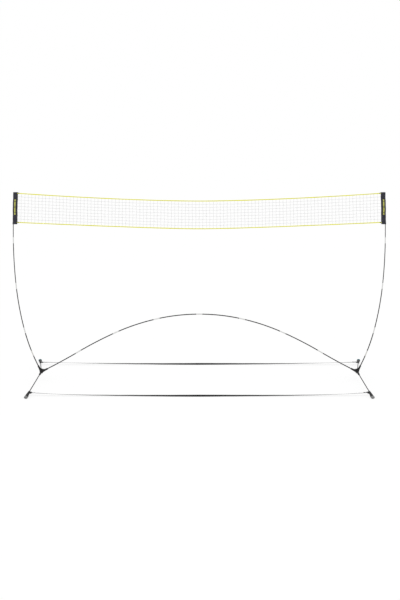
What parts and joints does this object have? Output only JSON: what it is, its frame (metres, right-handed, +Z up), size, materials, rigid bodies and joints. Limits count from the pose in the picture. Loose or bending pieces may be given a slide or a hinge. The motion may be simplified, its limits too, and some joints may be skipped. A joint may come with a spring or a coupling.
{
  "type": "portable badminton net",
  "caption": "Portable badminton net on a shock-corded pole frame: bowed uprights, a low arch, splayed legs with rubber boots, ground straps and a lift-off net.",
  "frame": {"origin": "on the floor, under the middle of the net", "axes": "+X along the net, +Y from the front feet to the rear feet, +Z up"},
  "size_m": [2.9868, 1.0682, 1.55],
  "materials": {
    "pole_black": "black coated fibreglass tube, satin gloss",
    "leg_pole": "dark grey coated fibreglass tube",
    "ferrule_metal": "bright drawn steel sleeve",
    "pale_sleeve": "pale grey shrink sleeve, unprinted",
    "tip_rubber": "soft black cap",
    "elastic_cord": "braided elastic cord",
    "hub_plastic": "black moulded nylon, low gloss",
    "boot_rubber": "black moulded soft plastic",
    "plug_grey": "grey moulded plug",
    "plug_teal": "dark grey-green moulded plug",
    "strap_webbing": "black woven webbing",
    "yellow_tape": "pale yellow woven tape",
    "netting": "knotted off-white twine",
    "sleeve_fabric": "charcoal woven polyester"
  },
  "bodies": {
    "frame": {"arch_ferrule_1": "ferrule_metal", "arch_ferrule_2": "ferrule_metal", "arch_ferrule_3": "ferrule_metal", "arch_ferrule_4": "ferrule_metal", "arch_ferrule_5": "ferrule_metal", "arch_ferrule_6": "ferrule_metal", "arch_ferrule_7": "ferrule_metal", "arch_section_1": "pole_black", "arch_section_2": "pole_black", "arch_section_3": "pole_black", "arch_section_4": "pole_black", "arch_section_5": "pole_black", "arch_section_6": "pole_black", "arch_section_7": "pole_black", "arch_section_8": "pole_black", "arch_shock_cord": "elastic_cord", "ground_strap_front": "strap_webbing", "ground_strap_rear": "strap_webbing", "hub_left": "hub_plastic", "hub_right": "hub_plastic", "upright_left_ferrule_1": "ferrule_metal", "upright_left_ferrule_2": "ferrule_metal", "upright_left_ferrule_3": "ferrule_metal", "upright_left_section_1": "pole_black", "upright_left_section_2": "pole_black", "upright_left_section_3": "pole_black", "upright_left_section_4": "pole_black", "upright_left_shock_cord": "elastic_cord", "upright_left_tip": "tip_rubber", "upright_marker_sleeves": "pale_sleeve", "upright_right_ferrule_1": "ferrule_metal", "upright_right_ferrule_2": "ferrule_metal", "upright_right_ferrule_3": "ferrule_metal", "upright_right_section_1": "pole_black", "upright_right_section_2": "pole_black", "upright_right_section_3": "pole_black", "upright_right_section_4": "pole_black", "upright_right_shock_cord": "elastic_cord", "upright_right_tip": "tip_rubber"},
    "net": {"bottom_tape": "yellow_tape", "net_mesh": "netting", "net_sleeve_left": "sleeve_fabric", "net_sleeve_right": "sleeve_fabric", "top_tape": "yellow_tape"},
    "leg_front_left": {"boot_front_left": "boot_rubber", "boot_plug_front_left": "plug_grey", "leg_front_left": "leg_pole", "leg_shock_cord_front_left": "elastic_cord"},
    "leg_front_right": {"boot_front_right": "boot_rubber", "boot_plug_front_right": "plug_grey", "leg_front_right": "leg_pole", "leg_shock_cord_front_right": "elastic_cord"},
    "leg_rear_left": {"boot_plug_rear_left": "plug_teal", "boot_rear_left": "boot_rubber", "leg_rear_left": "leg_pole", "leg_shock_cord_rear_left": "elastic_cord"},
    "leg_rear_right": {"boot_plug_rear_right": "plug_teal", "boot_rear_right": "boot_rubber", "leg_rear_right": "leg_pole", "leg_shock_cord_rear_right": "elastic_cord"}
  },
  "joints": [
    {"name": "net_lift", "type": "slide", "parent": "frame", "child": "net", "axis": [0, 0, 1], "range_m": [0, 0.27]},
    {"name": "front_left_leg_pull", "type": "slide", "parent": "frame", "child": "leg_front_left", "axis": [-0.1247, -0.9871, -0.1], "range_m": [0, 0.04], "stiffness_N_per_m": 150, "springref_m": -0.04},
    {"name": "front_right_leg_pull", "type": "slide", "parent": "frame", "child": "leg_front_right", "axis": [0.1247, -0.9871, -0.1], "range_m": [0, 0.04], "stiffness_N_per_m": 150, "springref_m": -0.04},
    {"name": "rear_left_leg_pull", "type": "slide", "parent": "frame", "child": "leg_rear_left", "axis": [-0.1247, 0.9871, -0.1], "range_m": [0, 0.04], "stiffness_N_per_m": 150, "springref_m": -0.04},
    {"name": "rear_right_leg_pull", "type": "slide", "parent": "frame", "child": "leg_rear_right", "axis": [0.1247, 0.9871, -0.1], "range_m": [0, 0.04], "stiffness_N_per_m": 150, "springref_m": -0.04}
  ]
}
